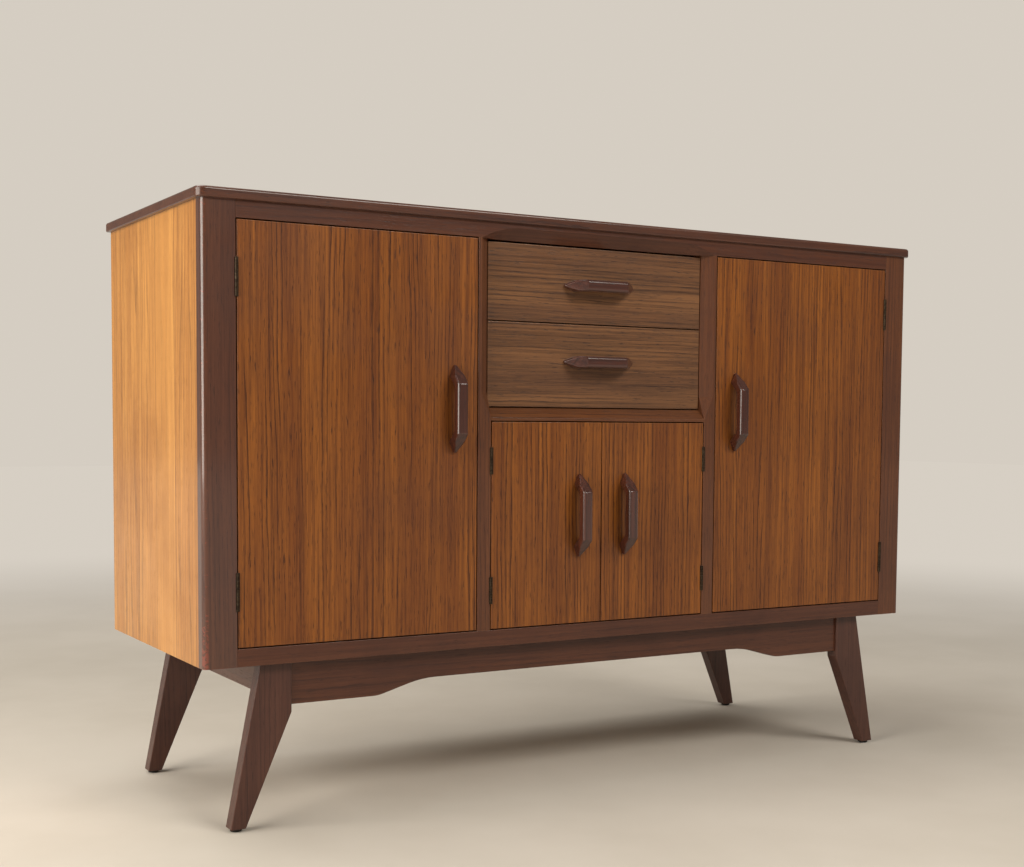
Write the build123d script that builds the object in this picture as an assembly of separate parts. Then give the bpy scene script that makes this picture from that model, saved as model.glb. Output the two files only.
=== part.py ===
from build123d import *
import math
import os

os.makedirs("parts", exist_ok=True)

# A four-foot sideboard with two wide cupboards, a centre cupboard under two drawers,
# and a separate underframe on splayed legs. Sizes are in millimetres.
#
# Every piece is drawn in the case's own frame: X is 0 in the middle of the case and
# grows to the right, Y is 0 on the front plane of the stiles and grows towards the back,
# and Z is 0 on the underside of the case. write_node() moves it to the part's frame,
# whose origin is on the floor under the middle of the whole object.

# ---- Case ----
CASE_WIDTH = 1220.0
CASE_DEPTH = 420.0
CASE_HEIGHT = 600.0
SIDE_THICKNESS = 18.0
BOTTOM_THICKNESS = 18.0
BACK_THICKNESS = 6.0
BACK_REBATE = 10.0
SHELF_THICKNESS = 15.0
SHELF_HEIGHT = 300.0
SHELF_SETBACK = 40.0
BATTEN = 14.0

# ---- Top slab ----
SLAB_THICKNESS = 14.0
SLAB_SIDE_OVERHANG = 7.0
SLAB_FRONT_OVERHANG = 5.0
SLAB_CORNER_RADIUS = 12.0
SLAB_TOP_ROUND = 4.0
SLAB_BOTTOM_ROUND = 2.0

# ---- Face frame ----
STILE_WIDTH = 45.5
FRAME_THICKNESS = 20.0
STILE_ROUND = 7.0
TOP_RAIL_HEIGHT = 22.6
BOTTOM_RAIL_HEIGHT = 23.6
FRAME_SOFTENING = 0.7
POST_WIDTH = 21.0
POST_DEPTH = 40.0
BAY_HALF_WIDTH = 189.0
LEDGE_BOTTOM = 321.9
LEDGE_TOP = 340.4
LEDGE_FRONT_HEIGHT = 4.1
LEDGE_DEPTH = 60.0
DUST_BOARD_THICKNESS = 9.0

# ---- Chamfer that runs round the drawer bay ----
BAY_RECESS = 14.2
POST_STRIP = 5.0
CHAMFER_STOP_TOP = 361.0
CHAMFER_STOP_TIP = 326.0
ARCH_RISE = 16.6
ARCH_RUN = 65.0

# ---- Doors ----
DOOR_GAP = 1.5
DOOR_THICKNESS = 18.0
DOOR_SOFTENING = 0.9
SMALL_DOOR_TOP = 320.4
MIDDLE_GAP = 1.6

# ---- Drawers ----
DRAWER_FRONT_THICKNESS = 18.0
DRAWER_CLEARANCE = 1.2
DRAWER_SIDE_THICKNESS = 10.0
DRAWER_BOTTOM_THICKNESS = 4.0
DRAWER_GROOVE = 5.0
DRAWER_BOTTOM_RAISE = 8.0
DRAWER_BACK_Y = 384.0
DOVETAIL_LENGTH = 12.0
DOVETAIL_ANGLE = 10.0
UPPER_FRONT = (464.8, 574.8)
LOWER_FRONT = (341.9, 463.3)
UPPER_SIDES = (464.8, 558.0)
LOWER_SIDES = (341.0, 446.0)
RUNNER_WIDTH = 12.0
RUNNER_HEIGHT = 15.0
RUNNER_LENGTH = 340.0

# ---- Handles ----
HANDLE_LENGTH = 130.6
HANDLE_WIDTH = 17.0
HANDLE_PROJECTION = 28.0
HANDLE_FOOT = 20.5
HANDLE_BEVEL = 31.0
HANDLE_GAP = 15.5
HANDLE_GAP_SLOPE = 14.4
HANDLE_THROAT_ROUND = 6.0
HANDLE_BAR_ROUND = 5.0
HANDLE_FACET_ROUND = 3.0
HANDLE_GAP_ROUND = 2.0
BIG_HANDLE_X = 248.0
BIG_HANDLE_Z = 337.7
SMALL_HANDLE_X = 40.5
SMALL_HANDLE_Z = 184.2
UPPER_HANDLE_Z = 519.0
LOWER_HANDLE_Z = 408.3

# ---- Butt hinges ----
HINGE_AXIS_PROUD = 0.4
KNUCKLE_RADIUS = 2.5
PIN_RADIUS = 1.2
PRESS_CLEARANCE = 0.02
PIN_RUNNING_CLEARANCE = 0.06
KNUCKLE_CLEARANCE = 0.3
KNUCKLE_END_GAP = 0.15
KNUCKLE_COUNT = 5
LEAF_THICKNESS = 1.2
LEAF_WIDTH = 14.0
BIG_HINGE_LENGTH = 50.0
SMALL_HINGE_LENGTH = 38.0
BIG_HINGE_INSET = 73.0
SMALL_HINGE_INSET = 55.5
HINGE_SCREW_Y = 9.0
HINGE_SCREW_RADIUS = 1.3
HINGE_SCREW_HEAD = 2.6
HINGE_SCREW_LENGTH = 12.0

# ---- Ball catches ----
CATCH_RADIUS = 4.0
CATCH_DEPTH = 13.5
CATCH_BALL_RADIUS = 3.0
CATCH_BALL_RISE = 1.2
CATCH_FROM_DOOR_EDGE = 20.0

# ---- Underframe ----
LEG_HEIGHT = 218.0
LEG_THICKNESS = 21.0
LEG_SETBACK = 14.0
LEG_TOP_OUTER = 82.0
LEG_TOP_INNER = 125.6
LEG_FOOT_OUTER = 40.0
LEG_FOOT_INNER = 61.0
LEG_KINK = 68.0
LEG_SOFTENING = 1.2
APRON_SETBACK = 18.0
APRON_THICKNESS = 20.0
APRON_END_DEPTH = 58.6
APRON_MIDDLE_DEPTH = 39.7
APRON_STEP_OUTER = 355.5
APRON_STEP_INNER = 288.0
APRON_OUTER_EASE = 60.0
APRON_INNER_EASE = 160.0
GLIDE_RADIUS = 8.0
GLIDE_HEIGHT = 4.0
BLOCK_SIZE = 50.0
BLOCK_HEIGHT = 32.0

# ---- Screws ----
FRAME_SCREW_RADIUS = 2.2
FRAME_SCREW_HEAD = 4.4
FRAME_SCREW_LENGTH = 44.0
BACK_SCREW_RADIUS = 1.7
BACK_SCREW_HEAD = 3.4
BACK_SCREW_LENGTH = 20.0
SCREW_SLOT = 0.8
HOLE_CLEARANCE = 0.05

# ---- Worked out from the dimensions above ----
HALF = CASE_WIDTH / 2
SIDE_INNER = HALF - SIDE_THICKNESS
STILE_INNER = HALF - STILE_WIDTH
POST_OUTER = BAY_HALF_WIDTH + POST_WIDTH
PARTITION_OUTER = BAY_HALF_WIDTH + SIDE_THICKNESS
BACK_Y = CASE_DEPTH - BACK_THICKNESS
TOP_RAIL_BOTTOM = CASE_HEIGHT - TOP_RAIL_HEIGHT
DOOR_BOTTOM = BOTTOM_RAIL_HEIGHT + DOOR_GAP
BIG_DOOR_TOP = TOP_RAIL_BOTTOM - DOOR_GAP
BIG_DOOR_OUTER = STILE_INNER - DOOR_GAP
BIG_DOOR_INNER = POST_OUTER + DOOR_GAP
SMALL_DOOR_OUTER = BAY_HALF_WIDTH - DOOR_GAP
SMALL_DOOR_INNER = MIDDLE_GAP / 2
BIG_HINGE_X = (STILE_INNER + BIG_DOOR_OUTER) / 2
SMALL_HINGE_X = (BAY_HALF_WIDTH + SMALL_DOOR_OUTER) / 2
BIG_HINGE_ZS = (DOOR_BOTTOM + BIG_HINGE_INSET, BIG_DOOR_TOP - BIG_HINGE_INSET)
SMALL_HINGE_ZS = (DOOR_BOTTOM + SMALL_HINGE_INSET, SMALL_DOOR_TOP - SMALL_HINGE_INSET)
DRAWER_HALF = BAY_HALF_WIDTH - DRAWER_CLEARANCE
DRAWER_SHOULDER = BAY_RECESS + DRAWER_FRONT_THICKNESS
RUNNER_START = POST_DEPTH
OVERALL_DEPTH = HANDLE_PROJECTION + CASE_DEPTH
CASE_ORIGIN = Pos(0, HANDLE_PROJECTION - OVERALL_DEPTH / 2, LEG_HEIGHT + GLIDE_HEIGHT)


def write_node(name, shape):
    """Move a piece from the case's frame to the part's frame and write its STEP file."""
    export_step(CASE_ORIGIN * shape, os.path.join("parts", name + ".step"))


def write_pair(name, right_shape):
    """Write a right-hand piece and its mirror image on the left."""
    write_node(name + "_right", right_shape)
    write_node(name + "_left", on_left(right_shape))


def on_left(shape):
    """The mirror image of a piece, across the middle plane of the case."""
    return mirror(shape, about=Plane.YZ)


def both_sides(shape):
    """A right-hand piece and its mirror image, as separate solids."""
    return Compound(children=[*shape.solids(), *on_left(shape).solids()])


def group(shapes):
    """Several separate solids that share one node."""
    return Compound(children=[solid for shape in shapes for solid in shape.solids()])


def board(x0, x1, y0, y1, z0, z1):
    """A rectangular board between two opposite corners."""
    middle = Pos((x0 + x1) / 2, (y0 + y1) / 2, (z0 + z1) / 2)
    return middle * Box(x1 - x0, y1 - y0, z1 - z0)


def soft_front(shape, radius):
    """Round the edges of a board's front face."""
    return fillet(shape.edges().group_by(Axis.Y)[0], radius)


def prism_along_x(points, x0, x1):
    """Extrude an outline of (y, z) points from x0 to x1."""
    outline = Plane.YZ * Polyline(*points, close=True)
    return Pos(x0, 0, 0) * extrude(make_face(outline), amount=x1 - x0, dir=(1, 0, 0))


def prism_along_y(points, y0, y1):
    """Extrude an outline of (x, z) points from y0 to y1."""
    outline = Plane.XZ * Polyline(*points, close=True)
    return Pos(0, y0, 0) * extrude(make_face(outline), amount=y1 - y0, dir=(0, 1, 0))


def prism_along_z(points, z0, z1):
    """Extrude an outline of (x, y) points from z0 to z1."""
    outline = Polyline(*points, close=True)
    return Pos(0, 0, z0) * extrude(make_face(outline), amount=z1 - z0, dir=(0, 0, 1))


def post_cylinder(x, y, z0, z1, radius):
    """An upright cylinder from z0 to z1."""
    return Pos(x, y, (z0 + z1) / 2) * Cylinder(radius, z1 - z0)


# ---- Screws ----


def screw(radius, head_radius, length, grow=0.0):
    """A countersunk screw whose head faces +Z at Z = 0; grow makes the hole it sits in."""
    sink = head_radius - radius
    shank = Pos(0, 0, -length / 2) * Cylinder(radius + grow, length + 2 * grow)
    head = Pos(0, 0, -sink / 2) * Cone(radius + grow, head_radius + grow, sink)
    body = shank + head
    if grow:
        return body
    slot_depth = sink / 2
    return body - Pos(0, 0, -slot_depth / 2) * Box(2 * head_radius, SCREW_SLOT, slot_depth)


def hinge_screw(grow=0.0):
    return screw(HINGE_SCREW_RADIUS, HINGE_SCREW_HEAD, HINGE_SCREW_LENGTH, grow)


def frame_screw(grow=0.0):
    return screw(FRAME_SCREW_RADIUS, FRAME_SCREW_HEAD, FRAME_SCREW_LENGTH, grow)


def back_screw(grow=0.0):
    return screw(BACK_SCREW_RADIUS, BACK_SCREW_HEAD, BACK_SCREW_LENGTH, grow)


def frame_screws(grow=0.0):
    """Two screws up through each corner block into the bottom board."""
    placed = []
    for x in (-1, 1):
        for y in (-1, 1):
            for along in (0.22, 0.5):
                px = x * (side_rail_inner() - BLOCK_SIZE * along)
                py = CASE_DEPTH / 2 + y * (CASE_DEPTH / 2 - block_corner() - BLOCK_SIZE * 0.3)
                placed.append(Pos(px, py, -BLOCK_HEIGHT) * Rot(180, 0, 0) * frame_screw(grow))
    return group(placed)


def back_screw_places():
    """Where the screws that hold the back panel stand, as (x, z) pairs."""
    edge = HALF - BACK_REBATE / 2 - (SIDE_THICKNESS - BACK_REBATE)
    upright = [(x, z) for x in (-edge, edge) for z in (60, 200, 340, 480)]
    inner = BAY_HALF_WIDTH + SIDE_THICKNESS / 2
    middle = [(x, z) for x in (-inner, inner) for z in (130, 430)]
    level = [(x, z) for x in (-450, -330, 0, 330, 450) for z in (9, 585)]
    return upright + middle + level


def back_screws(grow=0.0):
    return group(
        Pos(x, CASE_DEPTH, z) * Rot(-90, 0, 0) * back_screw(grow) for x, z in back_screw_places()
    )


# ---- Butt hinges ----


def hinge_zs(z_middle, length):
    """The heights of the joints between the knuckles, from the lowest to the highest."""
    step = length / KNUCKLE_COUNT
    return [z_middle - length / 2 + step * i for i in range(KNUCKLE_COUNT + 1)]


def hinge_leaf(x_axis, z_middle, length, direction, own_knuckles):
    """One leaf with its knuckles; direction is the X way from the pin to the leaf's wood."""
    near = x_axis + direction * DOOR_GAP / 2
    far = near + direction * LEAF_THICKNESS
    low = z_middle - length / 2
    leaf = board(min(near, far), max(near, far), 0, LEAF_WIDTH, low, low + length)
    joints = hinge_zs(z_middle, length)
    axis_y = -HINGE_AXIS_PROUD
    for index in range(KNUCKLE_COUNT):
        z0, z1 = joints[index], joints[index + 1]
        if index in own_knuckles:
            z0 = z0 + (KNUCKLE_END_GAP if index > 0 else 0)
            z1 = z1 - (KNUCKLE_END_GAP if index < KNUCKLE_COUNT - 1 else 0)
            leaf = leaf + post_cylinder(x_axis, axis_y, z0, z1, KNUCKLE_RADIUS)
        else:
            room = KNUCKLE_RADIUS + KNUCKLE_CLEARANCE
            leaf = leaf - post_cylinder(x_axis, axis_y, z0, z1, room)
    fit = PRESS_CLEARANCE if 0 in own_knuckles else PIN_RUNNING_CLEARANCE
    leaf = leaf - post_cylinder(x_axis, axis_y, low - 1, low + length + 1, PIN_RADIUS + fit)
    return leaf - hinge_screws(x_axis, z_middle, length, direction, HOLE_CLEARANCE)


def hinge_screws(x_axis, z_middle, length, direction, grow=0.0):
    """The screws of one leaf: three in a long hinge and two in a short one."""
    near = x_axis + direction * DOOR_GAP / 2
    spread = length * 0.3
    heights = (-spread, 0, spread) if length > SMALL_HINGE_LENGTH else (-spread, spread)
    turn = Rot(0, -90 * direction, 0)
    return group(Pos(near, HINGE_SCREW_Y, z_middle + dz) * turn * hinge_screw(grow) for dz in heights)


def hinge_recess(x_axis, z_middle, length, direction):
    """The wood that one leaf, its screws and the knuckles take the place of."""
    near = x_axis + direction * DOOR_GAP / 2
    far = near + direction * LEAF_THICKNESS
    low = z_middle - length / 2
    housing = board(min(near, far), max(near, far), -1, LEAF_WIDTH, low, low + length)
    room = KNUCKLE_RADIUS + KNUCKLE_CLEARANCE
    notch = post_cylinder(x_axis, -HINGE_AXIS_PROUD, low, low + length, room)
    return housing + notch + hinge_screws(x_axis, z_middle, length, direction, HOLE_CLEARANCE)


def hinge_pin(x_axis, z_middle, length):
    return post_cylinder(
        x_axis, -HINGE_AXIS_PROUD, z_middle - length / 2, z_middle + length / 2, PIN_RADIUS
    )


def all_hinges():
    """Every hinge on the right half, as (axis x, middle height, length)."""
    big = [(BIG_HINGE_X, z, BIG_HINGE_LENGTH) for z in BIG_HINGE_ZS]
    small = [(SMALL_HINGE_X, z, SMALL_HINGE_LENGTH) for z in SMALL_HINGE_ZS]
    return big + small


CASE_KNUCKLES = (0, 2, 4)
DOOR_KNUCKLES = (1, 3)


def case_hinge_leaves():
    """The leaves that are screwed to the stiles and posts, with their screws."""
    leaves = [hinge_leaf(x, z, length, 1, CASE_KNUCKLES) for x, z, length in all_hinges()]
    screws = [hinge_screws(x, z, length, 1) for x, z, length in all_hinges()]
    return both_sides(group(leaves + screws))


def hinge_pins():
    return both_sides(group(hinge_pin(x, z, length) for x, z, length in all_hinges()))


def door_hinge_leaves(x_axis, heights, length):
    """The leaves on a right-hand door, with their screws."""
    leaves = [hinge_leaf(x_axis, z, length, -1, DOOR_KNUCKLES) for z in heights]
    screws = [hinge_screws(x_axis, z, length, -1) for z in heights]
    return group(leaves + screws)


# ---- Case boards ----


def top_slab():
    """The top, with rounded front corners and a moulded edge."""
    half = HALF + SLAB_SIDE_OVERHANG
    top = CASE_HEIGHT + SLAB_THICKNESS
    slab = board(-half, half, -SLAB_FRONT_OVERHANG, CASE_DEPTH, CASE_HEIGHT, top)
    front_corners = slab.edges().filter_by(Axis.Z).group_by(Axis.Y)[0]
    slab = fillet(front_corners, SLAB_CORNER_RADIUS)
    upper = slab.edges().group_by(Axis.Z)[-1].sort_by(Axis.Y)[:-1]
    slab = fillet(upper, SLAB_TOP_ROUND)
    lower = slab.edges().group_by(Axis.Z)[0].sort_by(Axis.Y)[:-1]
    return fillet(lower, SLAB_BOTTOM_ROUND)


def side_panel():
    """The right side, rebated at the back for the back panel."""
    side = board(SIDE_INNER, HALF, FRAME_THICKNESS, CASE_DEPTH, 0, CASE_HEIGHT)
    rebate = board(SIDE_INNER, SIDE_INNER + BACK_REBATE, BACK_Y, CASE_DEPTH, 0, CASE_HEIGHT)
    return side - rebate - back_screws(HOLE_CLEARANCE)


def front_uprights(shape):
    """The upright edges of a board's front face, from left to right."""
    return shape.edges().filter_by(Axis.Z).group_by(Axis.Y)[0].sort_by(Axis.X)


def end_stile():
    """The right front post of the face frame, with its rounded outer corner."""
    stile = board(STILE_INNER, HALF, 0, FRAME_THICKNESS, 0, CASE_HEIGHT)
    stile = fillet(front_uprights(stile)[-1], STILE_ROUND)
    stile = fillet(front_uprights(stile)[0], FRAME_SOFTENING)
    for z in BIG_HINGE_ZS:
        stile = stile - hinge_recess(BIG_HINGE_X, z, BIG_HINGE_LENGTH, 1)
    return stile


def arch_cut():
    """The long chamfer over the drawers: a flat arch swept obliquely, down and back."""
    low = TOP_RAIL_BOTTOM
    high = low + ARCH_RISE
    end = POST_OUTER - POST_STRIP
    shoulder = end - ARCH_RUN
    radius = (ARCH_RUN**2 + ARCH_RISE**2) / (2 * ARCH_RISE)
    halfway = math.asin(ARCH_RUN / radius) / 2
    dx = radius * math.sin(halfway)
    dz = radius * (1 - math.cos(halfway))
    top = Line((-shoulder, high), (shoulder, high))
    right = ThreePointArc((shoulder, high), (shoulder + dx, high - dz), (end, low))
    below = Polyline((end, low), (end, low - ARCH_RISE), (-end, low - ARCH_RISE), (-end, low))
    left = ThreePointArc((-end, low), (-shoulder - dx, high - dz), (-shoulder, high))
    face = Plane.XZ * make_face(top + right + below + left)
    return extrude(face, amount=math.hypot(BAY_RECESS, ARCH_RISE), dir=(0, BAY_RECESS, -ARCH_RISE))


def top_rail():
    """The upper rail of the face frame, arched over the drawers."""
    rail = board(-STILE_INNER, STILE_INNER, 0, FRAME_THICKNESS, TOP_RAIL_BOTTOM, CASE_HEIGHT)
    rail = rail - arch_cut()
    lower_front = [edge for edge in rail.edges() if is_lower_front(edge.center())]
    return fillet(lower_front, FRAME_SOFTENING)


def is_lower_front(point):
    """Whether an edge's middle is on the lower outline of the top rail's front face."""
    below_slab = point.Z < CASE_HEIGHT - 1
    return abs(point.Y) < 0.01 and below_slab and abs(point.X) < STILE_INNER - 1


def bottom_rail():
    """The lower rail of the face frame, bored for the ball catches."""
    rail = board(-STILE_INNER, STILE_INNER, 0, FRAME_THICKNESS, 0, BOTTOM_RAIL_HEIGHT)
    rail = soft_front(rail, FRAME_SOFTENING)
    for x in catch_places():
        bottom = BOTTOM_RAIL_HEIGHT - CATCH_DEPTH
        rail = rail - post_cylinder(
            x, FRAME_THICKNESS / 2, bottom, BOTTOM_RAIL_HEIGHT + 1, CATCH_RADIUS + HOLE_CLEARANCE
        )
    return rail


def catch_places():
    """The X places of the four ball catches, under the free edges of the doors."""
    big = BIG_DOOR_INNER + CATCH_FROM_DOOR_EDGE
    small = SMALL_DOOR_INNER + CATCH_FROM_DOOR_EDGE
    return (-big, -small, small, big)


def ball_catch(x):
    """A sprung ball in a brass barrel that is let into the bottom rail."""
    y = FRAME_THICKNESS / 2
    top = BOTTOM_RAIL_HEIGHT
    barrel = post_cylinder(x, y, top - CATCH_DEPTH, top, CATCH_RADIUS)
    ball = Pos(x, y, top + CATCH_BALL_RISE - CATCH_BALL_RADIUS) * Sphere(CATCH_BALL_RADIUS)
    return barrel + ball


def post_chamfer():
    """The wedge cut from the right post: a long bevel that runs out to a point at its foot."""
    outer = POST_OUTER - POST_STRIP
    corners = [(outer, 0), (BAY_HALF_WIDTH, 0), (BAY_HALF_WIDTH, BAY_RECESS)]
    bevel = prism_along_z(corners, CHAMFER_STOP_TOP, TOP_RAIL_BOTTOM)
    section = Pos(0, 0, CHAMFER_STOP_TOP) * make_face(Polyline(*corners, close=True))
    run_out = loft([section, Vertex(BAY_HALF_WIDTH, 0, CHAMFER_STOP_TIP)])
    return bevel + run_out


def divider_post():
    """The right post beside the drawers, halved behind the rails at its two ends."""
    left, right = BAY_HALF_WIDTH, POST_OUTER
    post = board(left, right, 0, POST_DEPTH, BOTTOM_RAIL_HEIGHT, TOP_RAIL_BOTTOM)
    tongue = board(left, right, FRAME_THICKNESS, POST_DEPTH, BOTTOM_THICKNESS, CASE_HEIGHT)
    post = post + tongue - post_chamfer()
    front = [edge for edge in post.edges() if abs(edge.center().Y) < 0.01]
    post = fillet([edge for edge in front if edge.length > POST_WIDTH], FRAME_SOFTENING)
    for z in SMALL_HINGE_ZS:
        post = post - hinge_recess(SMALL_HINGE_X, z, SMALL_HINGE_LENGTH, 1)
    return post


def partition():
    """The right partition, behind its post."""
    panel = board(
        BAY_HALF_WIDTH, PARTITION_OUTER, POST_DEPTH, BACK_Y, BOTTOM_THICKNESS, CASE_HEIGHT
    )
    notch = board(0, HALF, BACK_Y - BATTEN, BACK_Y, CASE_HEIGHT - 2 * BATTEN, CASE_HEIGHT)
    return panel - notch - back_screws(HOLE_CLEARANCE)


def drawer_ledge():
    """The rail between the drawers and the small doors, sloped up to the drawer front."""
    outline = [
        (0, LEDGE_BOTTOM),
        (LEDGE_DEPTH, LEDGE_BOTTOM),
        (LEDGE_DEPTH, LEDGE_TOP),
        (BAY_RECESS, LEDGE_TOP),
        (0, LEDGE_BOTTOM + LEDGE_FRONT_HEIGHT),
    ]
    ledge = prism_along_x(outline, -BAY_HALF_WIDTH, BAY_HALF_WIDTH)
    front = [edge for edge in ledge.edges().filter_by(Axis.X) if edge.center().Y < LEDGE_DEPTH / 2]
    return fillet(front, FRAME_SOFTENING)


def dust_board():
    """The thin board under the lower drawer, which is also the roof of the small cupboard."""
    bottom = LEDGE_TOP - DUST_BOARD_THICKNESS
    return board(-BAY_HALF_WIDTH, BAY_HALF_WIDTH, LEDGE_DEPTH, BACK_Y, bottom, LEDGE_TOP)


def bottom_board():
    base = board(-SIDE_INNER, SIDE_INNER, FRAME_THICKNESS, BACK_Y, 0, BOTTOM_THICKNESS)
    return base - frame_screws(HOLE_CLEARANCE) - back_screws(HOLE_CLEARANCE)


def back_panel():
    half = SIDE_INNER + BACK_REBATE
    panel = board(-half, half, BACK_Y, CASE_DEPTH, 0, CASE_HEIGHT)
    return panel - back_screws(HOLE_CLEARANCE)


def top_back_rail():
    """The rail under the back edge of the top, let into the partitions."""
    low = CASE_HEIGHT - 2 * BATTEN
    rail = board(-SIDE_INNER, SIDE_INNER, BACK_Y - BATTEN, BACK_Y, low, CASE_HEIGHT)
    return rail - back_screws(HOLE_CLEARANCE)


def shelf():
    """The shelf of the right cupboard."""
    top = SHELF_HEIGHT + SHELF_THICKNESS
    plank = board(PARTITION_OUTER + 1, SIDE_INNER - 1, SHELF_SETBACK, BACK_Y - 2, SHELF_HEIGHT, top)
    return soft_front(plank, 1.5)


def shelf_battens():
    """The four battens that carry the two shelves."""
    low = SHELF_HEIGHT - BATTEN
    start = SHELF_SETBACK + BATTEN
    outer = board(SIDE_INNER - BATTEN, SIDE_INNER, start, BACK_Y - 2, low, SHELF_HEIGHT)
    inner = board(PARTITION_OUTER, PARTITION_OUTER + BATTEN, start, BACK_Y - 2, low, SHELF_HEIGHT)
    return both_sides(group([outer, inner]))


def drawer_runners():
    """A bearing strip under each side of the upper drawer, and a keeper strip over it."""
    strips = []
    for low in (UPPER_SIDES[0] - RUNNER_HEIGHT - 0.4, UPPER_SIDES[1] + 1.0):
        inner = BAY_HALF_WIDTH - RUNNER_WIDTH
        end = RUNNER_START + RUNNER_LENGTH
        strips.append(board(inner, BAY_HALF_WIDTH, RUNNER_START, end, low, low + RUNNER_HEIGHT))
    return both_sides(group(strips))


# ---- Underframe ----


def side_rail_inner():
    return HALF - LEG_TOP_OUTER - APRON_THICKNESS


def block_corner():
    """The Y distance from the front or back plane of the case to a corner block."""
    return APRON_SETBACK + APRON_THICKNESS


def leg():
    """The front right leg: upright inner edge down to a kink, then a taper to the foot."""
    outline = [
        (HALF - LEG_TOP_OUTER, 0),
        (HALF - LEG_TOP_INNER, 0),
        (HALF - LEG_TOP_INNER, -LEG_KINK),
        (HALF - LEG_FOOT_INNER, -LEG_HEIGHT),
        (HALF - LEG_FOOT_OUTER, -LEG_HEIGHT),
    ]
    blank = prism_along_y(outline, LEG_SETBACK, LEG_SETBACK + LEG_THICKNESS)
    below_case = [edge for edge in blank.edges() if edge.center().Z < -1]
    return fillet(below_case, LEG_SOFTENING)


def at_back(shape):
    """The same piece at the back of the case, facing the other way."""
    return mirror(shape, about=Plane.XZ.offset(-CASE_DEPTH / 2))


def foot_glides():
    """The low domed steel glides under the four feet."""
    x = HALF - (LEG_FOOT_OUTER + LEG_FOOT_INNER) / 2
    y = LEG_SETBACK + LEG_THICKNESS / 2
    low = -LEG_HEIGHT - GLIDE_HEIGHT
    glide = post_cylinder(x, y, low, -LEG_HEIGHT, GLIDE_RADIUS)
    glide = fillet(glide.edges().group_by(Axis.Z)[0], GLIDE_HEIGHT * 0.6)
    return both_sides(group([glide, at_back(glide)]))


def front_apron():
    """The shaped apron between the front legs: deep at the ends and eased to the middle."""
    end = HALF - LEG_TOP_INNER
    outline = [
        (-end, 0),
        (end, 0),
        (end, -APRON_END_DEPTH),
        (APRON_STEP_OUTER, -APRON_END_DEPTH),
        (APRON_STEP_INNER, -APRON_MIDDLE_DEPTH),
        (-APRON_STEP_INNER, -APRON_MIDDLE_DEPTH),
        (-APRON_STEP_OUTER, -APRON_END_DEPTH),
        (-end, -APRON_END_DEPTH),
    ]
    apron = prism_along_y(outline, APRON_SETBACK, APRON_SETBACK + APRON_THICKNESS)
    across = apron.edges().filter_by(Axis.Y)
    inner = [edge for edge in across if abs(abs(edge.center().X) - APRON_STEP_INNER) < 1]
    apron = fillet(inner, APRON_INNER_EASE)
    across = apron.edges().filter_by(Axis.Y)
    outer = [edge for edge in across if abs(abs(edge.center().X) - APRON_STEP_OUTER) < 1]
    apron = fillet(outer, APRON_OUTER_EASE)
    low = [edge for edge in apron.edges() if edge.center().Z < 2 - APRON_MIDDLE_DEPTH]
    arris = [edge for edge in low if abs(edge.center().Y - APRON_SETBACK) < 0.01]
    return fillet(arris, LEG_SOFTENING)


def back_apron():
    """The plain rail between the back legs."""
    end = HALF - LEG_TOP_INNER
    far = CASE_DEPTH - APRON_SETBACK
    return board(-end, end, far - APRON_THICKNESS, far, -APRON_MIDDLE_DEPTH, 0)


def side_rail():
    """The right rail of the underframe, between the front and back legs."""
    start = LEG_SETBACK + LEG_THICKNESS
    outer = HALF - LEG_TOP_OUTER
    return board(
        side_rail_inner(), outer, start, CASE_DEPTH - start, -APRON_MIDDLE_DEPTH, 0
    )


def corner_blocks():
    """The glued triangular blocks that tie the underframe to the case."""
    x = side_rail_inner()
    y = block_corner()
    corners = [(x, y), (x - BLOCK_SIZE, y), (x, y + BLOCK_SIZE)]
    block = prism_along_z(corners, -BLOCK_HEIGHT, 0)
    blocks = both_sides(group([block, at_back(block)]))
    holes = frame_screws(HOLE_CLEARANCE)
    return group(solid - holes for solid in blocks.solids())


# ---- Handles ----


def bow_handle():
    """A carved pull: upright, its feet on the plane Y = 0 and its bar towards -Y."""
    half = HANDLE_LENGTH / 2
    gap_top = half - HANDLE_FOOT
    gap_shoulder = gap_top - HANDLE_GAP_SLOPE
    side_view = [
        (0, half),
        (-HANDLE_PROJECTION, half - HANDLE_BEVEL),
        (-HANDLE_PROJECTION, HANDLE_BEVEL - half),
        (0, -half),
        (0, -gap_top),
        (-HANDLE_GAP, -gap_shoulder),
        (-HANDLE_GAP, gap_shoulder),
        (0, gap_top),
    ]
    wide = HANDLE_WIDTH / 2
    front_view = [
        (0, half),
        (wide, half - HANDLE_FOOT),
        (wide, HANDLE_FOOT - half),
        (0, -half),
        (-wide, HANDLE_FOOT - half),
        (-wide, half - HANDLE_FOOT),
    ]
    blank = prism_along_x(side_view, -wide, wide)
    blank = blank & prism_along_y(front_view, -HANDLE_PROJECTION, 0)
    throats = [edge for edge in blank.edges() if is_throat(edge.center())]
    blank = fillet(throats, HANDLE_THROAT_ROUND)
    bar = [edge for edge in blank.edges() if is_bar(edge.center())]
    blank = fillet(bar, HANDLE_BAR_ROUND)
    facets = [edge for edge in blank.edges() if is_facet(edge.center())]
    blank = fillet(facets, HANDLE_FACET_ROUND)
    inner = [edge for edge in blank.edges() if is_gap_side(edge.center())]
    return fillet(inner, HANDLE_GAP_ROUND)


def is_throat(point):
    """Whether an edge's middle is at an inside corner of the finger gap."""
    return abs(point.X) < 0.1 and abs(point.Y + HANDLE_GAP) < 0.1


def is_bar(point):
    """Whether an edge's middle is on one of the two long front edges of the bar."""
    return point.Y < 0.1 - HANDLE_PROJECTION and abs(point.X) > HANDLE_WIDTH / 2 - 0.2


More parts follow.
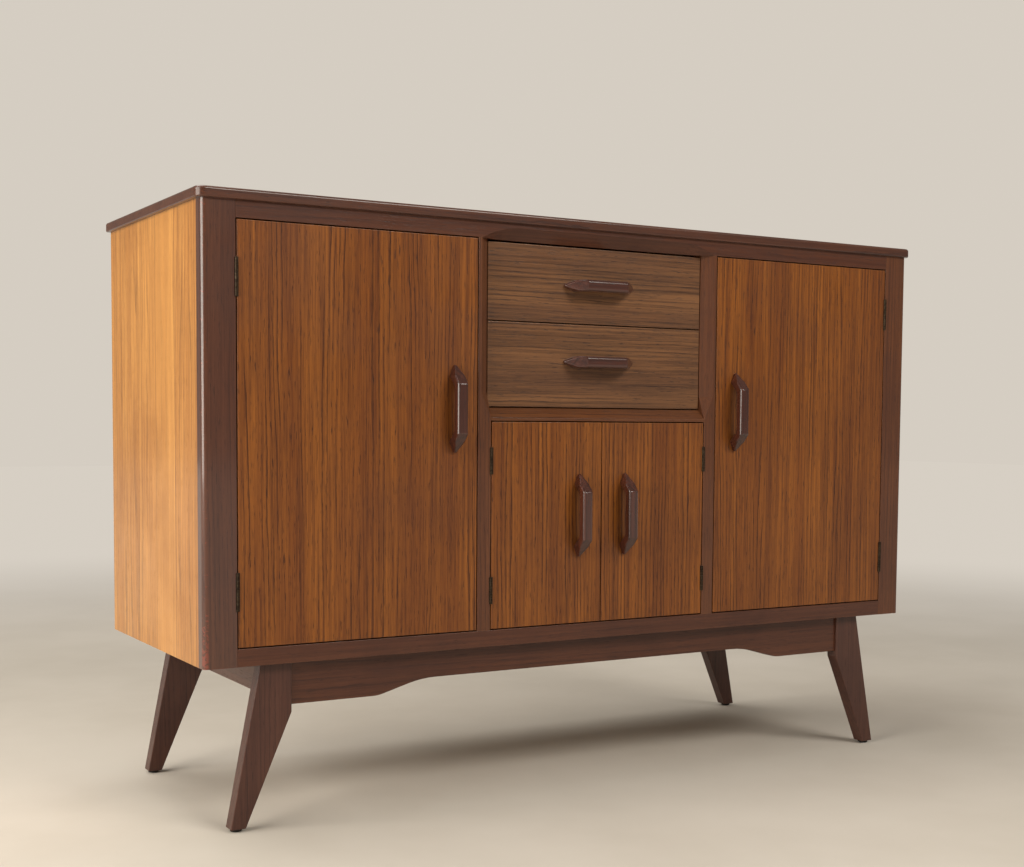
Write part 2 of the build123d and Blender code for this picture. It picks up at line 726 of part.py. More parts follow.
def is_facet(point):
    """Whether an edge's middle is on the outline of one of the two end facets."""
    facet_y = (abs(point.Z) - HANDLE_LENGTH / 2) * HANDLE_PROJECTION / HANDLE_BEVEL
    beyond_bar = abs(point.Z) > HANDLE_LENGTH / 2 - HANDLE_BEVEL - HANDLE_BAR_ROUND
    return beyond_bar and point.Y < -0.1 and abs(point.Y - facet_y) < 0.35


def is_gap_side(point):
    """Whether an edge's middle is on a side of the handle, round the finger gap."""
    on_side = abs(point.X) > HANDLE_WIDTH / 2 - 0.2
    return on_side and -HANDLE_GAP - 0.5 < point.Y < -0.3


# ---- Doors ----


def big_door():
    """The wide right-hand door."""
    panel = board(
        BIG_DOOR_INNER, BIG_DOOR_OUTER, 0, DOOR_THICKNESS, DOOR_BOTTOM, BIG_DOOR_TOP
    )
    panel = soft_front(panel, DOOR_SOFTENING)
    for z in BIG_HINGE_ZS:
        panel = panel - hinge_recess(BIG_HINGE_X, z, BIG_HINGE_LENGTH, -1)
    return panel


def small_door():
    """The right-hand door of the centre cupboard."""
    panel = board(
        SMALL_DOOR_INNER, SMALL_DOOR_OUTER, 0, DOOR_THICKNESS, DOOR_BOTTOM, SMALL_DOOR_TOP
    )
    panel = soft_front(panel, DOOR_SOFTENING)
    for z in SMALL_HINGE_ZS:
        panel = panel - hinge_recess(SMALL_HINGE_X, z, SMALL_HINGE_LENGTH, -1)
    return panel


# ---- Drawers ----


def dovetails(heights):
    """The tails on the front end of a drawer's right side."""
    low, high = heights
    count = 3
    pitch = (high - low) / count
    shoulder = DRAWER_SHOULDER
    end = shoulder - DOVETAIL_LENGTH
    narrow = pitch * 0.27
    wide = narrow + DOVETAIL_LENGTH * math.tan(math.radians(DOVETAIL_ANGLE))
    inner = DRAWER_HALF - DRAWER_SIDE_THICKNESS
    tails = []
    for index in range(count):
        z = low + pitch * (index + 0.5)
        outline = [(shoulder, z - narrow), (shoulder, z + narrow), (end, z + wide), (end, z - wide)]
        tails.append(prism_along_x(outline, inner, DRAWER_HALF))
    return tails


def drawer_bottom(heights):
    """The thin bottom, held in grooves in the sides and the front."""
    half = DRAWER_HALF - DRAWER_SIDE_THICKNESS + DRAWER_GROOVE
    low = heights[0] + DRAWER_BOTTOM_RAISE
    top = low + DRAWER_BOTTOM_THICKNESS
    return board(-half, half, DRAWER_SHOULDER - DRAWER_GROOVE, DRAWER_BACK_Y, low, top)


def drawer_front(front_heights, side_heights):
    low, high = front_heights
    front = board(-DRAWER_HALF, DRAWER_HALF, BAY_RECESS, DRAWER_SHOULDER, low, high)
    front = soft_front(front, DOOR_SOFTENING)
    for tail in dovetails(side_heights):
        front = front - tail - on_left(tail)
    return front - drawer_bottom(side_heights)


def drawer_side(heights):
    """The right side of a drawer, dovetailed to the front and grooved for the bottom."""
    low, high = heights
    inner = DRAWER_HALF - DRAWER_SIDE_THICKNESS
    side = board(inner, DRAWER_HALF, DRAWER_SHOULDER, DRAWER_BACK_Y, low, high)
    for tail in dovetails(heights):
        side = side + tail
    return side - drawer_bottom(heights)


def drawer_back(heights):
    low, high = heights
    half = DRAWER_HALF - DRAWER_SIDE_THICKNESS
    bottom = low + DRAWER_BOTTOM_RAISE + DRAWER_BOTTOM_THICKNESS
    return board(
        -half, half, DRAWER_BACK_Y - DRAWER_SIDE_THICKNESS, DRAWER_BACK_Y, bottom, high - 4
    )


# ---- Writing the nodes ----


def write_case():
    write_node("top_slab", top_slab())
    write_pair("side_panel", side_panel())
    write_pair("end_stile", end_stile())
    write_node("top_rail", top_rail())
    write_node("bottom_rail", bottom_rail())
    write_pair("divider_post", divider_post())
    write_pair("partition", partition())
    write_node("drawer_ledge", drawer_ledge())
    write_node("dust_board", dust_board())
    write_node("bottom_board", bottom_board())
    write_node("back_panel", back_panel())
    write_node("back_panel_screws", back_screws())
    write_node("top_back_rail", top_back_rail())
    write_pair("shelf", shelf())
    write_node("shelf_battens", shelf_battens())
    write_node("drawer_runners", drawer_runners())
    write_node("ball_catches", group(ball_catch(x) for x in catch_places()))
    write_node("hinge_case_leaves", case_hinge_leaves())
    write_node("hinge_pins", hinge_pins())


def write_underframe():
    write_pair("leg_front", leg())
    write_pair("leg_back", at_back(leg()))
    write_node("foot_glides", foot_glides())
    write_node("front_apron", front_apron())
    write_node("back_apron", back_apron())
    write_pair("underframe_rail", side_rail())
    write_node("corner_blocks", corner_blocks())
    write_node("underframe_screws", frame_screws())


def write_doors():
    pull = bow_handle()
    write_pair("big_door", big_door())
    write_pair("big_door_handle", Pos(BIG_HANDLE_X, 0, BIG_HANDLE_Z) * pull)
    write_pair(
        "big_door_hinge_leaves", door_hinge_leaves(BIG_HINGE_X, BIG_HINGE_ZS, BIG_HINGE_LENGTH)
    )
    write_pair("small_door", small_door())
    write_pair("small_door_handle", Pos(SMALL_HANDLE_X, 0, SMALL_HANDLE_Z) * pull)
    write_pair(
        "small_door_hinge_leaves",
        door_hinge_leaves(SMALL_HINGE_X, SMALL_HINGE_ZS, SMALL_HINGE_LENGTH),
    )


def write_drawers():
    level_pull = Rot(0, 90, 0) * bow_handle()
    drawers = (
        ("upper_drawer", UPPER_FRONT, UPPER_SIDES, UPPER_HANDLE_Z),
        ("lower_drawer", LOWER_FRONT, LOWER_SIDES, LOWER_HANDLE_Z),
    )
    for name, front_heights, side_heights, handle_z in drawers:
        write_node(name + "_front", drawer_front(front_heights, side_heights))
        write_pair(name + "_side", drawer_side(side_heights))
        write_node(name + "_back", drawer_back(side_heights))
        write_node(name + "_bottom", drawer_bottom(side_heights))
        write_node(name + "_handle", Pos(0, BAY_RECESS, handle_z) * level_pull)


write_case()
write_underframe()
write_doors()
write_drawers()
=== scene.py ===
import bpy
import math
from mathutils import Matrix, Vector


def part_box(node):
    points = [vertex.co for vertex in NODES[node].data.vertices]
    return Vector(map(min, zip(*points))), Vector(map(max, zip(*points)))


# A four-foot sideboard: teak-veneered doors and sides in a dark stained frame, on splayed legs.
# All sizes are in metres, in the row frame: X to the right, Y to the back, Z up, floor at Z = 0.

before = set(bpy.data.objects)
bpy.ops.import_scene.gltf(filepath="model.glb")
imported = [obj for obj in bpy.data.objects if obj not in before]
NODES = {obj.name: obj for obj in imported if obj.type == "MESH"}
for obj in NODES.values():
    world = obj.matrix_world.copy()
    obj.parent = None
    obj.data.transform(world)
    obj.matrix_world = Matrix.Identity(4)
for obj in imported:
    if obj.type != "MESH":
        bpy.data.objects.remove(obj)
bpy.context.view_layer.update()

# ---- Camera ----
CAMERA_PLACE = (-1.204, -1.983, 0.542)
CAMERA_HEADING = math.radians(-30.44)
CAMERA_TILT = math.radians(-3.59)
CAMERA_ROLL = math.radians(-0.40)
CAMERA_LENS = 51.03
CAMERA_SHIFT_UP = 0.0778


def add_camera():
    """The camera stands left of the middle, a little below the height of the top."""
    camera = bpy.data.objects.new("camera", bpy.data.cameras.new("camera"))
    bpy.context.scene.collection.objects.link(camera)
    turn = Matrix.Rotation(CAMERA_HEADING, 3, "Z") @ Matrix.Rotation(CAMERA_TILT, 3, "X")
    level = Matrix.Rotation(CAMERA_ROLL, 3, "Y") @ Matrix.Rotation(math.radians(90), 3, "X")
    camera.rotation_euler = (turn @ level).to_euler()
    camera.location = CAMERA_PLACE
    camera.data.lens = CAMERA_LENS
    camera.data.shift_y = CAMERA_SHIFT_UP
    bpy.context.scene.camera = camera


# ---- Studio ----
# Each lamp's place, the place that it points at, its width and height, its power and its colour.
LAMPS = {
    "window": ((-3.0, -0.5, 1.3), (-0.4, -0.1, 0.45), (2.4, 2.0), 108, (1.0, 0.94, 0.85)),
    "front": ((1.2, -3.4, 3.1), (0.1, -0.2, 0.4), (2.4, 1.2), 115, (1.0, 0.95, 0.88)),
    "overhead": ((-0.9, 0.8, 3.4), (0.1, 0.0, 0.0), (2.6, 2.0), 72, (1.0, 0.96, 0.90)),
}
SURROUND_COLOUR = (0.74, 0.68, 0.60, 1)
SURROUND_LIGHT = 0.28
SURROUND_SEEN = 0.9
FLOOR_SIZE = 30.0
FLOOR_TONES = ((0.50, 0.46, 0.40), (0.58, 0.54, 0.48))
# How far from the middle of the row the floor starts to fade, and where it is all surround.
FADE_FROM = 0.9
FADE_TO = 4.0


def add_lamp(name, place, target, size, power, tint):
    """A soft rectangular lamp that points at the target."""
    light = bpy.data.lights.new(name, "AREA")
    light.shape = "RECTANGLE"
    light.size, light.size_y = size
    light.energy = power
    light.color = tint
    lamp = bpy.data.objects.new(name, light)
    bpy.context.scene.collection.objects.link(lamp)
    lamp.location = place
    lamp.rotation_euler = (Vector(target) - Vector(place)).to_track_quat("-Z", "Y").to_euler()


def add_studio():
    """A broad window at the left, lamps high in front and overhead, and a pale surround."""
    for name, settings in LAMPS.items():
        add_lamp(name, *settings)
    world = bpy.data.worlds.new("surround")
    world.use_nodes = True
    nodes, links = world.node_tree.nodes, world.node_tree.links
    background = nodes["Background"]
    seen = nodes.new("ShaderNodeLightPath").outputs["Is Camera Ray"]
    strength = nodes.new("ShaderNodeMapRange")
    strength.inputs["To Min"].default_value = SURROUND_LIGHT
    strength.inputs["To Max"].default_value = SURROUND_SEEN
    links.new(seen, strength.inputs["Value"])
    links.new(strength.outputs["Result"], background.inputs["Strength"])
    background.inputs["Color"].default_value = SURROUND_COLOUR
    bpy.context.scene.world = world
    bpy.context.scene.view_settings.view_transform = "Standard"


# ---- Node helpers ----
EDGE_RAYS = 4
EDGE_TURN = (0.02, 0.30)


class Graph:
    """Short calls for building one material's node tree."""

    def __init__(self, name):
        self.material = bpy.data.materials.new(name)
        self.material.use_nodes = True
        self.nodes = self.material.node_tree.nodes
        self.links = self.material.node_tree.links
        self.shader = self.nodes["Principled BSDF"]
        self.place = self.nodes.new("ShaderNodeTexCoord").outputs["Object"]

    def set(self, socket, value):
        """Give a socket a number, a colour, or another node's output."""
        if isinstance(value, bpy.types.NodeSocket):
            self.links.new(value, socket)
        elif value is not None:
            socket.default_value = value

    def math(self, operation, a, b=None):
        node = self.nodes.new("ShaderNodeMath")
        node.operation = operation
        self.set(node.inputs[0], a)
        self.set(node.inputs[1], b)
        return node.outputs[0]

    def vector(self, operation, a, b):
        node = self.nodes.new("ShaderNodeVectorMath")
        node.operation = operation
        self.set(node.inputs[0], a)
        self.set(node.inputs[1], b)
        return node.outputs

    def split(self, vector):
        node = self.nodes.new("ShaderNodeSeparateXYZ")
        self.set(node.inputs[0], vector)
        return node.outputs

    def join(self, x, y, z):
        node = self.nodes.new("ShaderNodeCombineXYZ")
        for socket, value in zip(node.inputs, (x, y, z)):
            self.set(socket, value)
        return node.outputs[0]

    def noise(self, vector, scale=1.0, detail=2.0, roughness=0.5):
        node = self.nodes.new("ShaderNodeTexNoise")
        self.set(node.inputs["Vector"], vector)
        node.inputs["Scale"].default_value = scale
        node.inputs["Detail"].default_value = detail
        node.inputs["Roughness"].default_value = roughness
        return node.outputs["Fac"]

    def steps(self, value, low, high, to_low=0.0, to_high=1.0):
        """Stretch a value's span from low..high to to_low..to_high, smoothly and clamped."""
        node = self.nodes.new("ShaderNodeMapRange")
        node.interpolation_type = "SMOOTHSTEP"
        for name, number in zip(("From Min", "From Max", "To Min", "To Max"), (low, high, to_low, to_high)):
            node.inputs[name].default_value = number
        self.set(node.inputs["Value"], value)
        return node.outputs["Result"]

    def mix(self, share, a, b):
        """A blend of two colours: all a where the share is 0, and all b where it is 1."""
        node = self.nodes.new("ShaderNodeMix")
        node.data_type = "RGBA"
        self.set(node.inputs["Factor"], share)
        self.set(node.inputs[6], colour(a))
        self.set(node.inputs[7], colour(b))
        return node.outputs[2]

    def edge(self, radius):
        """1 on edges and corners sharper than the radius, 0 on open faces."""
        bevel = self.nodes.new("ShaderNodeBevel")
        bevel.samples = EDGE_RAYS
        bevel.inputs["Radius"].default_value = radius
        true_normal = self.nodes.new("ShaderNodeNewGeometry").outputs["True Normal"]
        agreement = self.vector("DOT_PRODUCT", bevel.outputs[0], true_normal)["Value"]
        return self.steps(self.math("SUBTRACT", 1.0, agreement), *EDGE_TURN)

    def bump(self, height, strength, distance):
        node = self.nodes.new("ShaderNodeBump")
        node.inputs["Strength"].default_value = strength
        node.inputs["Distance"].default_value = distance
        self.set(node.inputs["Height"], height)
        return node.outputs[0]


def colour(value):
    """A colour given as three numbers gets its alpha."""
    if isinstance(value, tuple) and len(value) == 3:
        return (*value, 1.0)
    return value


# ---- Wood ----
# Each wood's dark line, dark, middle and light colours.
FRAME_TONES = ((0.018, 0.006, 0.005), (0.040, 0.013, 0.008), (0.080, 0.025, 0.012), (0.110, 0.038, 0.018))
LEDGE_TONES = ((0.026, 0.009, 0.005), (0.070, 0.023, 0.009), (0.135, 0.045, 0.015), (0.18, 0.066, 0.020))
DOOR_TONES = ((0.022, 0.006, 0.003), (0.080, 0.022, 0.007), (0.172, 0.050, 0.009), (0.30, 0.100, 0.015))
# The sides are the same teak veneer as the doors; part of their lighter, more orange tone is painted light,
# for the window light and sheen on the side.
SIDE_TONES_WITH_PAINTED_LIGHT = ((0.050, 0.015, 0.006), (0.15, 0.045, 0.012), (0.32, 0.115, 0.022), (0.58, 0.275, 0.070))
DRAWER_TONES = ((0.020, 0.009, 0.006), (0.058, 0.026, 0.014), (0.132, 0.058, 0.027), (0.23, 0.105, 0.042))
LEG_TONES = ((0.017, 0.007, 0.007), (0.037, 0.014, 0.011), (0.072, 0.027, 0.018), (0.10, 0.040, 0.026))
WARM_TONES = ((0.022, 0.008, 0.005), (0.055, 0.018, 0.009), (0.108, 0.035, 0.014), (0.15, 0.054, 0.020))
HANDLE_TONES = ((0.009, 0.003, 0.002), (0.023, 0.006, 0.004), (0.052, 0.014, 0.009), (0.10, 0.028, 0.015))
INSIDE_TONES = ((0.16, 0.09, 0.045), (0.30, 0.18, 0.095), (0.42, 0.27, 0.15), (0.52, 0.36, 0.21))
PLY_TONES = ((0.22, 0.13, 0.07), (0.36, 0.23, 0.13), (0.48, 0.33, 0.19), (0.58, 0.42, 0.26))
RED_WEAR = (0.17, 0.035, 0.018)
# The pale edge colour is partly rubbed wear and partly a painted highlight: the bright line along the
# arrises, most of all on the doors and drawers.
PALE_WEAR_AND_HIGHLIGHT = (0.24, 0.11, 0.05)

# How often each part of the figure repeats in a metre, across the grain and along it.
DRIFT = (9.0, 0.9)
WAVER = (45.0, 9.0)
STRENGTH = (70.0, 2.2)
BANDS = (24.0, 0.8)
STREAKS = (240.0, 3.5)
FIBRE = (900.0, 20.0)
PORES = (900.0, 60.0)
CLOUDS = 6.0
WEAR_AND_HIGHLIGHT_PATCHES = 60.0
CHIPS = 190.0

# Where each part of the figure starts to show in its noise, and where it shows in full.
STRONG_RINGS = (0.40, 0.60)
BAND_SPAN = (0.36, 0.62)
STREAK_SPAN = (0.38, 0.62)
PORE_SPAN = (0.60, 0.70)
WEAR_AND_HIGHLIGHT_SPAN = (0.40, 0.62)
CHIP_SPAN = (0.60, 0.66)

# Growth rings: late wood darkens over the first span of a ring and ends over the second.
LATE_WOOD = (0.45, 0.90)
RING_END = (0.90, 1.0)
RING_LEAN = 0.6
WAVER_RINGS = 1.1

# Leaves of veneer: their joints, how much their tones vary, and how far their figures slip.
JOINT_WIDTH = 0.0008
JOINT_SHADE = 0.85
LEAF_CONTRAST = 0.7
LEAF_WAVER = 0.03
LEAF_SLIP = 3.0

# Edge marks: the sharpest edges are rubbed, and where they are rubbed pale this is also a painted highlight
# along the arris; one corner is chipped, most of all near its foot.
WEAR_AND_HIGHLIGHT_RADIUS = 0.0026
CHIP_REACH = (0.0035, 0.0065)
CHIPPED_FOOT = 0.11
FOOT_CHIPS = 0.16
ARRIS_INSET = 0.002

SPECULAR_LEVEL = 0.25
BUMP_DEPTH = 0.0004
# The stained frame wood, whose figure hardly shows, and the bare wood inside.
QUIET = {"band": 0.5, "streak": 0.5, "ring_depth": 0.4, "pores": 0.5, "dirt": 0.5}
BARE = {"coat": 0.0, "roughness": 0.6}
GRAIN_ORDER = {"X": (1, 2, 0), "Y": (2, 0, 1), "Z": (0, 1, 2)}


def grain_place(g, along, shift):
    """Coordinates turned so that the grain runs along the third one."""
    parts = g.split(g.vector("ADD", g.place, shift)[0])
    a, b, c = GRAIN_ORDER[along]
    return g.join(parts[a], parts[b], parts[c])


def figure(g, place, repeats, **look):
    """Noise drawn out along the grain."""
    across, along = repeats
    return g.noise(g.vector("MULTIPLY", place, (across, across, along))[0], **look)


def wood(name, tones, along="Z", shift=(0, 0, 0), ring=0.007, ring_depth=0.7, wander=4.0, band=0.8,
         streak=0.7, pores=0.7, roughness=0.36, coat=0.3, coat_roughness=0.16, wear_and_highlight=None,
         wear_and_highlight_amount=0.6, leaf=None, dirt=0.3, bump=0.3, corner=None):
    """Varnished wood. tones are its dark line, dark, middle and light colours.

    along is the row axis that the grain follows, and ring the usual width of one growth ring.
    wander is how many rings the figure drifts across the grain. leaf is the width of one leaf
    of veneer, where there are several side by side. corner is a place (|x|, y) of a chipped arris.
    """
    g = Graph(name)
    dark_line, dark, middle, light = tones
    place = grain_place(g, along, shift)
    if leaf:
        place, joint, leaf_tone = veneer_leaves(g, place, leaf)
    share, late = growth_rings(g, place, ring, wander)
    bands = g.steps(figure(g, place, BANDS, detail=3.0, roughness=0.6), *BAND_SPAN)
    streaks = figure(g, place, STREAKS, detail=5.0, roughness=0.66)
    streaks = g.steps(streaks, *STREAK_SPAN, 1.0, 0.0)
    fibre = figure(g, place, FIBRE, detail=2.0, roughness=0.7)
    pore = g.steps(figure(g, place, PORES, detail=1.0), *PORE_SPAN)
    pore = g.math("MULTIPLY", pore, g.steps(share, 0.2, 0.8, 0.4, 1.0))

    tone = g.mix(g.math("MULTIPLY", bands, band), middle, light)
    tone = g.mix(g.math("MULTIPLY", streaks, streak), tone, dark)
    tone = g.mix(g.math("MULTIPLY", late, ring_depth), tone, dark)
    tone = g.mix(g.math("MULTIPLY", g.math("POWER", late, 4.0), ring_depth), tone, dark_line)
    tone = g.mix(g.steps(fibre, 0.35, 0.75, 0.0, 0.4), tone, light)
    tone = g.mix(g.math("MULTIPLY", pore, pores), tone, dark_line)
    if leaf:
        tone = g.mix(g.math("MULTIPLY", leaf_tone, LEAF_CONTRAST), tone, light)
        tone = g.mix(g.math("MULTIPLY", joint, JOINT_SHADE), tone, dark_line)
    cloud = g.noise(g.place, scale=CLOUDS, detail=5.0, roughness=0.62)
    tone = g.mix(g.steps(cloud, 0.4, 0.75, 0.0, dirt), tone, dark)
    rough = g.math("ADD", roughness, g.steps(cloud, 0.3, 0.7, -0.05, 0.08))
    rough = g.math("ADD", rough, g.math("MULTIPLY", pore, 0.2))
    # The edge colour: rubbed wear and chips, and with the pale colour also a painted highlight along the
    # arris.
    if wear_and_highlight:
        wear_and_highlight_mask = wear_and_highlight_edges(g, wear_and_highlight_amount, corner)
        tone = g.mix(wear_and_highlight_mask, tone, wear_and_highlight)
        rough = g.math("ADD", rough, g.math("MULTIPLY", wear_and_highlight_mask, 0.12))
    height = g.math("SUBTRACT", g.math("MULTIPLY", fibre, 0.35), pore)
    g.set(g.shader.inputs["Base Color"], tone)
    g.set(g.shader.inputs["Roughness"], rough)
    g.set(g.shader.inputs["Normal"], g.bump(height, bump, BUMP_DEPTH))
    g.shader.inputs["Coat Weight"].default_value = coat
    g.shader.inputs["Coat Roughness"].default_value = coat_roughness
    g.shader.inputs["Specular IOR Level"].default_value = SPECULAR_LEVEL
    return g.material


def growth_rings(g, place, ring, wander):
    """Each place's share of the way through its growth ring, and how much late wood is there."""
    x, y = g.split(place)[:2]
    across = g.math("ADD", x, g.math("MULTIPLY", y, RING_LEAN))
    drift = figure(g, place, DRIFT, detail=2.0, roughness=0.45)
    drift = g.math("MULTIPLY", g.math("SUBTRACT", drift, 0.5), wander * 2)
    waver = figure(g, place, WAVER, detail=4.0, roughness=0.6)
    waver = g.math("MULTIPLY", g.math("SUBTRACT", waver, 0.5), WAVER_RINGS)
    phase = g.math("ADD", g.math("DIVIDE", across, ring), g.math("ADD", drift, waver))
    share = g.math("FRACT", phase)
    late = g.math("MULTIPLY", g.steps(share, *LATE_WOOD), g.steps(share, *RING_END, 1.0, 0.0))
    strong = g.steps(figure(g, place, STRENGTH, detail=3.0), *STRONG_RINGS)
    return share, g.math("MULTIPLY", late, strong)


def wear_and_highlight_edges(g, amount, corner):
    """Patches on the edges where the stain is rubbed away, which in the pale colour are also a painted
    highlight along the arris, and the chips of a chipped corner.
    """
    chips = g.noise(g.place, scale=WEAR_AND_HIGHLIGHT_PATCHES, detail=6.0, roughness=0.72)
    wear_and_highlight_mask = g.math("MULTIPLY", g.edge(WEAR_AND_HIGHLIGHT_RADIUS), g.steps(chips, *WEAR_AND_HIGHLIGHT_SPAN, 0.0, amount))
    if corner:
        wear_and_highlight_mask = g.math("MAXIMUM", wear_and_highlight_mask, chipped_corner(g, corner))
    return wear_and_highlight_mask


def chipped_corner(g, corner):
    """Small chips along an upright corner, running together into a rubbed patch at its foot."""
    x, y, z = g.split(g.place)
    dx = g.math("SUBTRACT", g.math("ABSOLUTE", x), corner[0])
    dy = g.math("SUBTRACT", y, corner[1])
    near = g.steps(distance(g, dx, dy), *CHIP_REACH, 1.0, 0.0)
    small = g.noise(g.place, scale=CHIPS, detail=4.0, roughness=0.7)
    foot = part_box("bottom_rail")[0].z
    low = g.steps(z, foot, foot + CHIPPED_FOOT, FOOT_CHIPS, 0.0)
    chips = g.steps(g.math("ADD", small, low), *CHIP_SPAN)
    return g.math("MULTIPLY", near, chips)


def distance(g, x, y):
    """The length of a flat step of x and y."""
    squares = [g.math("MULTIPLY", part, part) for part in (x, y)]
    return g.math("SQRT", g.math("ADD", *squares))


def veneer_leaves(g, place, leaf):
    """Divide the place across the grain into leaves; also give their joints and their tones."""
    x, y, z = g.split(place)
    across = g.math("ADD", x, y)
    waver = g.math("SUBTRACT", g.noise(g.join(0.0, 0.0, z), scale=2.0), 0.5)
    waver = g.math("MULTIPLY", waver, LEAF_WAVER)
    share = g.math("ADD", g.math("DIVIDE", across, leaf), waver)
    index = g.math("FLOOR", share)
    inside = g.math("SUBTRACT", share, index)
    edge = g.math("MINIMUM", inside, g.math("SUBTRACT", 1.0, inside))
    joint = g.steps(edge, 0.0, JOINT_WIDTH / leaf, 1.0, 0.0)
    random = g.nodes.new("ShaderNodeTexWhiteNoise")
    random.noise_dimensions = "1D"
    g.set(random.inputs["W"], index)
    slip = g.math("MULTIPLY", random.outputs["Value"], LEAF_SLIP)
    return g.join(g.math("ADD", across, slip), 0.0, z), joint, random.outputs["Value"]


# ---- Metal and floor ----


def metal(name, base, tarnish, roughness):
    """Dull metal with spots of tarnish and fine scratches."""
    g = Graph(name)
    spots = g.steps(g.noise(g.place, scale=220.0, detail=6.0, roughness=0.7), 0.35, 0.68)
    scratches = figure(g, g.place, PORES, detail=3.0)
    g.set(g.shader.inputs["Base Color"], g.mix(spots, base, tarnish))
    rough = g.math("ADD", roughness, g.steps(scratches, 0.3, 0.7, -0.08, 0.14))
    g.set(g.shader.inputs["Roughness"], rough)
    g.set(g.shader.inputs["Normal"], g.bump(spots, 0.2, 0.0002))
    g.shader.inputs["Metallic"].default_value = 1.0
    return g.material


def floor_material():
    """Pale plain plaster, hardly mottled, that fades into the surround far from the piece."""
    g = Graph("pale_floor")
    x, y = g.split(g.place)[:2]
    fade = g.steps(distance(g, x, y), FADE_FROM, FADE_TO)
    cloud = g.noise(g.place, scale=1.2, detail=5.0, roughness=0.6)
    tone = g.mix(g.steps(cloud, 0.3, 0.7), *FLOOR_TONES)
    g.set(g.shader.inputs["Base Color"], g.mix(fade, tone, (0.0, 0.0, 0.0)))
    g.shader.inputs["Emission Color"].default_value = SURROUND_COLOUR
    g.set(g.shader.inputs["Emission Strength"], g.math("MULTIPLY", fade, SURROUND_SEEN))
    g.shader.inputs["Specular IOR Level"].default_value = 0.1
    g.shader.inputs["Roughness"].default_value = 0.75
    return g.material


def add_floor():
    mesh = bpy.data.meshes.new("floor")
    half = FLOOR_SIZE / 2
    corners = [(-half, -half, 0), (half, -half, 0), (half, half, 0), (-half, half, 0)]
    mesh.from_pydata(corners, [], [(0, 1, 2, 3)])
    floor = bpy.data.objects.new("floor", mesh)
    floor.data.materials.append(floor_material())
    bpy.context.scene.collection.objects.link(floor)


# ---- Giving each node its material ----


def paint(material, *names):
    """Give the named nodes this material alone."""
    for name in names:
        mesh = NODES[name].data
        mesh.materials.clear()
        mesh.materials.append(material)


def pair(name):
    """The right and left nodes of a mirrored piece."""
    return [name + "_right", name + "_left"]


def paint_case():
    low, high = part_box("end_stile_right")
    arris = (high.x - ARRIS_INSET, low.y + ARRIS_INSET)
    upright = wood("frame_upright", FRAME_TONES, "Z", wear_and_highlight=RED_WEAR, corner=arris, coat=1.0,
                   coat_roughness=0.10, **QUIET)
    level = wood("frame_level", FRAME_TONES, "X", wear_and_highlight=PALE_WEAR_AND_HIGHLIGHT, wear_and_highlight_amount=0.4, coat=0.3, **QUIET)
    ledge = wood("ledge", LEDGE_TONES, "X", wear_and_highlight=PALE_WEAR_AND_HIGHLIGHT, wear_and_highlight_amount=0.4)
    top = wood("slab", FRAME_TONES, "X", shift=(0.3, 0.1, 0), wear_and_highlight=RED_WEAR, coat=0.6)
    warm = wood("frame_upright_warm", WARM_TONES, "Z", shift=(0.4, 0, 0), wear_and_highlight=PALE_WEAR_AND_HIGHLIGHT,
                wear_and_highlight_amount=0.4, **QUIET)
    paint(upright, "end_stile_left")
    paint(warm, "end_stile_right", *pair("divider_post"))
    paint(level, "top_rail", "bottom_rail")
    paint(ledge, "drawer_ledge")
    paint(top, "top_slab")
    # The sides' tones are partly painted light, lighter than the same veneer on the doors.
    side = wood("side_veneer", SIDE_TONES_WITH_PAINTED_LIGHT, "Z", shift=(0, 0.013, 0), leaf=0.085, ring=0.02,
                ring_depth=1.3, streak=1.0, band=1.0)
    paint(side, *pair("side_panel"))
    inside = wood("inside_upright", INSIDE_TONES, "Z", **BARE)
    shelf = wood("inside_level", INSIDE_TONES, "X", **BARE)
    runner = wood("inside_deep", INSIDE_TONES, "Y", coat=0.0, roughness=0.65)
    paint(inside, *pair("partition"))
    paint(shelf, "bottom_board", "top_back_rail", *pair("shelf"))
    paint(runner, "shelf_battens", "drawer_runners", "corner_blocks")
    ply = wood("plywood", PLY_TONES, "X", coat=0.0, roughness=0.7, streak=0.35)
    paint(ply, "dust_board", "back_panel")


def paint_underframe():
    leg = wood("leg", LEG_TONES, "Z", shift=(0.07, 0, 0), wear_and_highlight=PALE_WEAR_AND_HIGHLIGHT, wear_and_highlight_amount=0.35, **QUIET)
    apron = wood("apron", FRAME_TONES, "X", shift=(0, 0, 0.2), wear_and_highlight=PALE_WEAR_AND_HIGHLIGHT, wear_and_highlight_amount=0.3, **QUIET)
    rail = wood("underframe_rail", FRAME_TONES, "Y", shift=(0.2, 0, 0.1), **QUIET)
    paint(leg, *pair("leg_front"), *pair("leg_back"))
    paint(apron, "front_apron", "back_apron")
    paint(rail, *pair("underframe_rail"))


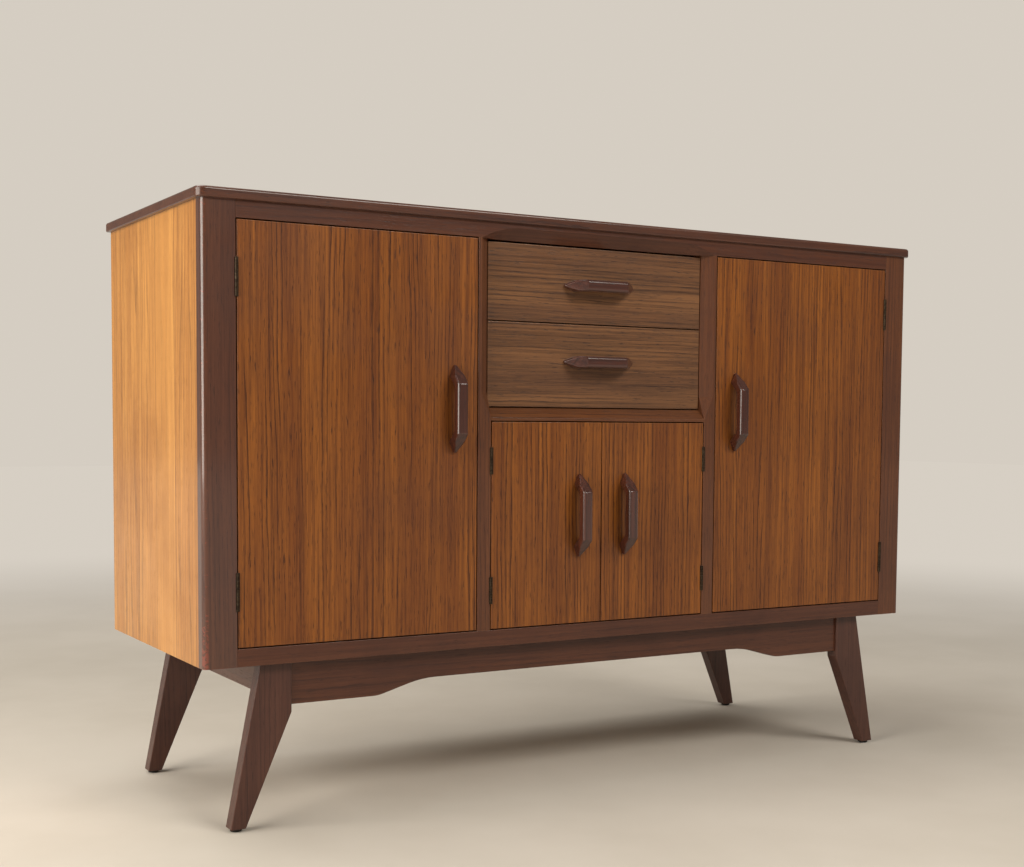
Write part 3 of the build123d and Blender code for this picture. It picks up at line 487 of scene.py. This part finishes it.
def paint_fronts():
    doors = {"big_door_right": 0.31, "big_door_left": 0.0, "small_door_right": 0.17, "small_door_left": 0.53}
    for name, shift in doors.items():
        # The pale edge lines on the doors are partly rubbed wear and partly a painted highlight along the
        # arris.
        door = wood(name + "_veneer", DOOR_TONES, "Z", shift=(shift, 0, shift), wear_and_highlight=PALE_WEAR_AND_HIGHLIGHT,
                    wear_and_highlight_amount=0.8, ring=0.007, ring_depth=0.85, coat=0.15)
        paint(door, name)
    for level, shift in (("upper", 0.0), ("lower", 0.37)):
        # The pale edge lines on the drawers are partly rubbed wear and partly a painted highlight along the
        # top arris.
        front = wood(level + "_drawer_veneer", DRAWER_TONES, "X", shift=(shift, 0, shift), wear_and_highlight=PALE_WEAR_AND_HIGHLIGHT,
                     wear_and_highlight_amount=0.8, ring=0.004, ring_depth=0.6, wander=2.5, coat=0.25)
        paint(front, level + "_drawer_front")
        slipped = (shift, 0, 0)
        box = wood(level + "_drawer_wood", INSIDE_TONES, "Y", shift=slipped, **BARE)
        back = wood(level + "_drawer_back_wood", INSIDE_TONES, "X", shift=slipped, **BARE)
        paint(box, *pair(level + "_drawer_side"))
        paint(back, level + "_drawer_back", level + "_drawer_bottom")
    gloss = {"roughness": 0.28, "coat": 1.0, "coat_roughness": 0.15, "wear_and_highlight": RED_WEAR, "wear_and_highlight_amount": 0.2}
    upright = wood("handle_upright", HANDLE_TONES, "Z", **gloss)
    level = wood("handle_level", HANDLE_TONES, "X", **gloss)
    paint(upright, *pair("big_door_handle"), *pair("small_door_handle"))
    paint(level, "upper_drawer_handle", "lower_drawer_handle")


def paint_metal():
    brass = metal("aged_brass", (0.060, 0.043, 0.028), (0.022, 0.016, 0.012), 0.5)
    steel = metal("dull_steel", (0.20, 0.20, 0.21), (0.08, 0.07, 0.06), 0.45)
    glide = metal("glide_steel", (0.05, 0.048, 0.045), (0.02, 0.018, 0.016), 0.5)
    paint(brass, "ball_catches", "hinge_case_leaves", "hinge_pins")
    paint(brass, *pair("big_door_hinge_leaves"), *pair("small_door_hinge_leaves"))
    paint(steel, "back_panel_screws", "underframe_screws")
    paint(glide, "foot_glides")


add_camera()
add_studio()
add_floor()
paint_case()
paint_underframe()
paint_fronts()
paint_metal()
